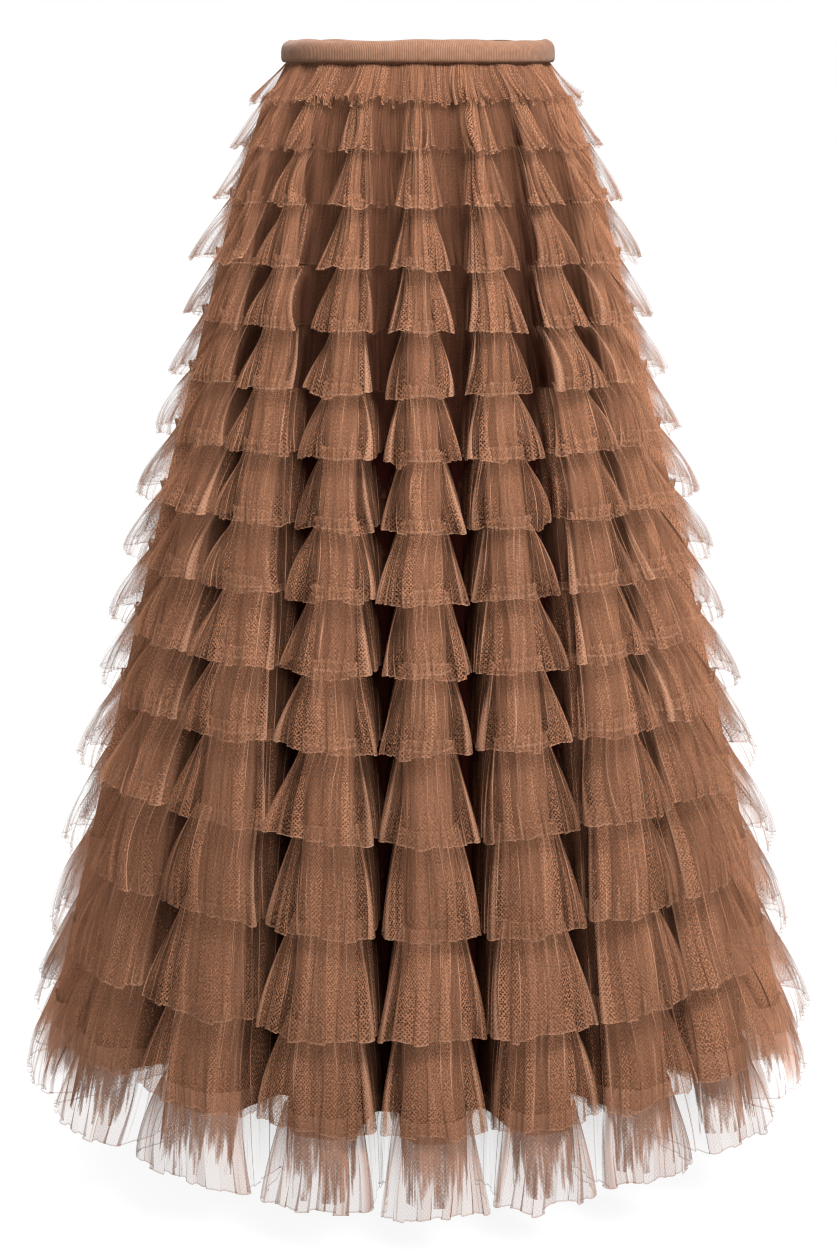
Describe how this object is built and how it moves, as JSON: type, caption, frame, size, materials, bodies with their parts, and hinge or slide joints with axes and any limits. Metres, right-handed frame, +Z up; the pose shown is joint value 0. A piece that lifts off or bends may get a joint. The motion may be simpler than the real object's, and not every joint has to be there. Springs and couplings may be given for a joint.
{
  "type": "tiered ruffle skirt",
  "caption": "Long pull-on skirt of soft net: a narrow elastic waistband over rows of gathered ruffles that fall in columns of small bells, open and hollow from waist to hem.",
  "frame": {"origin": "middle of the waist opening, halfway up the waistband", "axes": "+Z up along the wearer's body, the front of the skirt towards -Y, +X to the right as seen from the front"},
  "size_m": [0.7435, 0.7441, 0.9921],
  "materials": {
    "net": "soft camel-brown tulle, matt, see-through in one layer",
    "underskirt": "the same net in several layers, darker and close to opaque",
    "waistband": "ribbed knitted elastic, matt"
  },
  "bodies": {
    "root": {"waistband": "waistband", "underskirt": "underskirt", "ruffle_01": "net", "ruffle_02": "net", "ruffle_03": "net", "ruffle_04": "net", "ruffle_05": "net", "ruffle_06": "net", "ruffle_07": "net", "ruffle_08": "net", "ruffle_09": "net", "ruffle_10": "net", "ruffle_11": "net", "ruffle_12": "net", "ruffle_13": "net", "ruffle_14": "net", "ruffle_15": "net", "ruffle_16": "net"}
  },
  "joints": []
}
